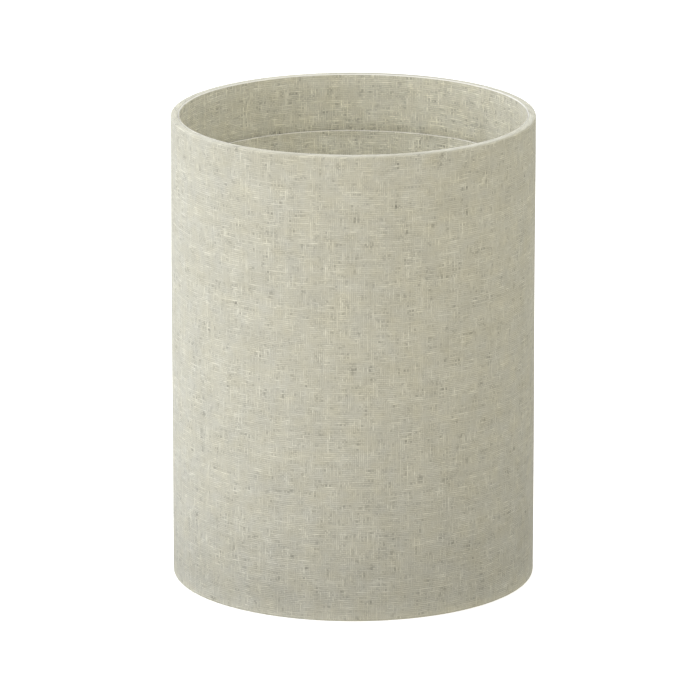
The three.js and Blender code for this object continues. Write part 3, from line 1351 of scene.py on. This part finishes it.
@dataclass
class Fitter:
    """The hub ring that the arms carry, and the reducer ring that lies on it."""

    enamel: Finish
    plastic: Finish
    hub_hole: float = 21.0 * MM
    hub_sheet: float = 1.2 * MM
    hub_bend: float = 1.1 * MM
    reducer_hole: float = 14.5 * MM
    reducer_flange_thick: float = 1.8 * MM
    spigot_radius: float = 20.7 * MM
    spigot_wall: float = 1.6 * MM
    groove: float = 20.5 * MM
    groove_depth: float = 0.35 * MM
    segments: int = 160

    def build(self) -> None:
        """Builds the hub ring and the reducer ring."""
        self._hub()
        self._reducer()

    def _hub(self) -> None:
        """Builds the pressed ring with its turned-down lip."""
        low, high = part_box("hub_ring")
        lip, top, bottom = high.x, high.z, low.z
        under = top - self.hub_sheet
        outline = rounded([
            (self.hub_hole, under, 0.25 * MM),
            (lip - self.hub_sheet, under, 0.5 * MM),
            (lip - self.hub_sheet, bottom, 0.3 * MM),
            (lip, bottom, 0.3 * MM),
            (lip, top, self.hub_bend),
            (self.hub_hole, top, 0.25 * MM),
        ])
        made = revolved("hub_ring_pressed", outline, self.segments)
        dressed(made, Body.SHADE, self.enamel, "hub_ring")

    def _reducer(self) -> None:
        """Builds the moulded ring with its flange, groove and spigot."""
        low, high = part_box("reducer_ring")
        flange, top, bottom = high.x, high.z, low.z
        seat = top - self.reducer_flange_thick
        inner = self.spigot_radius - self.spigot_wall
        groove, floor = self.groove, top - self.groove_depth
        outline = rounded([
            (self.reducer_hole, seat, 0.2 * MM),
            (inner, seat, 0.3 * MM),
            (inner, bottom, 0.25 * MM),
            (self.spigot_radius, bottom, 0.35 * MM),
            (self.spigot_radius, seat, 0.1 * MM),
            (flange, seat, 0.3 * MM),
            (flange, top, 0.7 * MM),
            (groove + 0.5 * MM, top, 0.1 * MM),
            (groove + 0.3 * MM, floor, 0.1 * MM),
            (groove - 0.3 * MM, floor, 0.1 * MM),
            (groove - 0.5 * MM, top, 0.1 * MM),
            (self.reducer_hole, top, 0.4 * MM),
        ])
        made = revolved("reducer_ring_moulded", outline, self.segments)
        dressed(made, Body.REDUCER, self.plastic, "reducer_ring")


# ---------------------------------------------------------------- studio

Rgb = tuple[float, float, float]


def direction(azimuth: float, elevation: float) -> Vector:
    """The unit vector towards an azimuth (0 front, 90 right) and an elevation, in degrees."""
    a, e = math.radians(azimuth), math.radians(elevation)
    return Vector((math.sin(a) * math.cos(e), -math.cos(a) * math.cos(e), math.sin(e)))


@dataclass(frozen=True)
class Tent:
    """A white light tent, which glows all round, and more from the left, from above and from behind."""

    even: Rgb = (1.012, 1.010, 0.990)
    left: Rgb = (0.284, 0.305, 0.380)
    above: Rgb = (0.430, 0.436, 0.480)
    behind: Rgb = (0.064, 0.103, 0.167)

    def build(self) -> None:
        """Builds the tent as the world's light."""
        world = bpy.data.worlds.new("light_tent")
        shader = Shader(world)
        towards = shader.node("ShaderNodeTexCoord", {}, {}).outputs["Generated"]
        parts = shader.node("ShaderNodeSeparateXYZ", {}, {"Vector": towards})
        x, y, z = (Term(shader, parts.outputs[name]) for name in "XYZ")
        glow = shader.sum(self.even, shader.scaled(self.left, 0 - x))
        glow = shader.sum(glow, shader.scaled(self.behind, y))
        glow = shader.sum(glow, shader.scaled(self.above, z))
        background = shader.node("ShaderNodeBackground", {}, {"Color": glow})
        shader.node("ShaderNodeOutputWorld", {}, {"Surface": background.outputs[0]})
        bpy.context.scene.world = world


@dataclass(frozen=True)
class Lamp:
    """One soft area light that looks at the shade."""

    name: str
    azimuth: float
    elevation: float
    distance: float
    size: float
    power: float
    colour: Rgb = (1.0, 1.0, 1.0)

    def build(self, target: Vector) -> None:
        """Builds the light.

        Args:
            target: The point that it is aimed at.
        """
        data = bpy.data.lights.new(self.name, "AREA")
        data.shape = "SQUARE"
        data.size = self.size
        data.energy = self.power
        data.color = self.colour
        made = bpy.data.objects.new(self.name, data)
        place = target + direction(self.azimuth, self.elevation) * self.distance
        made.location = place
        made.rotation_euler = (target - place).to_track_quat("-Z", "Y").to_euler()
        bpy.context.scene.collection.objects.link(made)


@dataclass
class Studio:
    """The camera, the light, the paper floor, and the grey card round the foot of the shade.

    The paper glows, as on a light table, so that it shows white and takes no shadow. The card lies just under
    it, out of the camera's sight, and keeps some light from the foot of the shade. Its hole is a little wider
    than the shade.
    """

    distance: float = 3.851
    elevation: float = 15.26
    lens: float = 358.7
    sensor: float = 36.0
    aim: tuple[float, float] = (-1.8 * MM, -4.2 * MM)
    paper: Board = Board("studio_paper", (0.92, 0.92, 0.915, 1.0), (4.0 * MM, 3.0), 0.9, 0.1, glow=0.45)
    paper_radius: float = 60.0
    card: Board = Board("grey_card", (0.18, 0.18, 0.18, 1.0), (3.0 * MM, 2.0), 0.95, 0.05)
    card_width: float = 160.0 * MM
    card_gap: float = 6.0 * MM
    card_drop: float = 1.0 * MM
    card_shift: float = 85.0 * MM
    flats: int = 96
    tent: Tent = Tent()
    lamps: tuple[Lamp, ...] = (Lamp("softbox", -78.0, 35.0, 2.5, 1.5, 8.0),)

    def build_camera(self, centre: Vector) -> None:
        """Builds the camera, which looks down at the shade from the front.

        Args:
            centre: The middle of the shade's box.
        """
        data = bpy.data.cameras.new("camera")
        data.lens = self.lens
        data.sensor_width = self.sensor
        data.clip_end = 4.0 * self.paper_radius
        made = bpy.data.objects.new("camera", data)
        place = centre + direction(0.0, self.elevation) * self.distance
        tilt = math.radians(self.elevation)
        target = centre + Vector((self.aim[0], self.aim[1] * math.sin(tilt), self.aim[1] * math.cos(tilt)))
        made.location = place
        made.rotation_euler = (target - place).to_track_quat("-Z", "Y").to_euler()
        bpy.context.scene.collection.objects.link(made)
        bpy.context.scene.camera = made

    def build_set(self, centre: Vector, radius: float) -> None:
        """Builds the paper, the card and the light.

        Args:
            centre: The middle of the shade's box.
            radius: The shade's radius.
        """
        paper = self._stage("floor", self.paper, 0.0, self.paper_radius, Vector())
        paper.visible_diffuse = False
        paper.visible_glossy = False
        paper.visible_shadow = False
        place = Vector((self.card_shift, 0.0, -self.card_drop))
        card = self._stage("grey_card", self.card, radius + self.card_gap, radius + self.card_width, place)
        card.visible_camera = False
        self.tent.build()
        for lamp in self.lamps:
            lamp.build(centre)
        bpy.context.scene.view_settings.view_transform = "Standard"

    def _stage(self, name: str, board: Board, hole: float, edge: float, place: Vector) -> bpy.types.Object:
        """Builds a flat disc that isn't part of the object.

        Args:
            name: Its name.
            board: What it is made of.
            hole: The radius of a hole round the shade's axis, or 0 for none.
            edge: The radius of its outer edge.
            place: The middle of its outer edge.

        Returns:
            The disc.
        """
        mesh = bmesh.new()
        outer = [mesh.verts.new(place + polar(edge, angle, 0.0)) for angle in turns(self.flats)]
        if hole:
            inner = [mesh.verts.new(polar(hole, angle, place.z)) for angle in turns(self.flats)]
            for i, corner in enumerate(inner):
                after = (i + 1) % self.flats
                mesh.faces.new((corner, outer[i], outer[after], inner[after]))
        else:
            mesh.faces.new(outer)
        made = finished_object(name, mesh)
        made.data.materials.append(board.material())
        made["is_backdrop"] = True
        return made


# ---------------------------------------------------------------- assembly


def main() -> None:
    """Builds the camera, the pieces and the set."""
    logging.basicConfig(level=logging.INFO, format="%(name)s: %(message)s")
    cad_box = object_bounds()
    low, high = (Vector(corner) for corner in cad_box)
    centre = (low + high) / 2.0
    studio = Studio()
    studio.build_camera(centre)

    layout = Layout.read()
    outer_linen = Finish(Slot.LINEN, Linen().material())
    film = Finish(Slot.FILM, Film().material())
    tape = Finish(Slot.TAPE, Tape().material())
    # Painted light: the facings and lining are the outer linen made lighter, with stronger thread contrast
    # and groove shade, so the inside of the shade shows as if lit through its wall.
    lightened_lining_linen = Finish(Slot.LINEN, Linen(
        "lining_linen", warm=(0.620, 0.601, 0.486, 1.0), cool=(0.614, 0.605, 0.516, 1.0),
        slub_contrast=0.13, thin_contrast=0.30, thread_contrast=0.14, grain_contrast=0.18, painted_groove_shade=0.28,
    ).material())
    enamel = Finish(Slot.ENAMEL, Enamel().material())
    plastic = Finish(Slot.PLASTIC, Plastic().material())

    OuterCover(layout, outer_linen, film, tape).build()
    goods = (layout, lightened_lining_linen, film, tape)
    front = math.radians(270.0)
    top = InnerBand(*goods, name="top_facing", seam=front, lapped=False, bolt=(0.3, 1.1))
    bottom = InnerBand(*goods, name="bottom_facing", seam=front, lapped=False, bolt=(1.2, 2.3))
    lining = InnerBand(*goods, name="lining", seam=math.radians(285.0), lapped=True, bolt=(2.1, 3.7),
                       press=0.55 * MM, film_short=0.05 * MM, tip=0.1 * MM)
    bands = (
        (top, ("top_facing_tape",)),
        (bottom, ("bottom_facing_tape",)),
        (lining, ("lining_top_tape", "lining_bottom_tape")),
    )
    for band, fixing_tapes in bands:
        band.build()
        for node in fixing_tapes:
            band.build_fixing_tape(node)
    WireFrame(layout, enamel).build()
    Fitter(enamel, plastic).build()

    studio.build_set(centre, layout.radius)


if __name__ == "__main__":
    main()
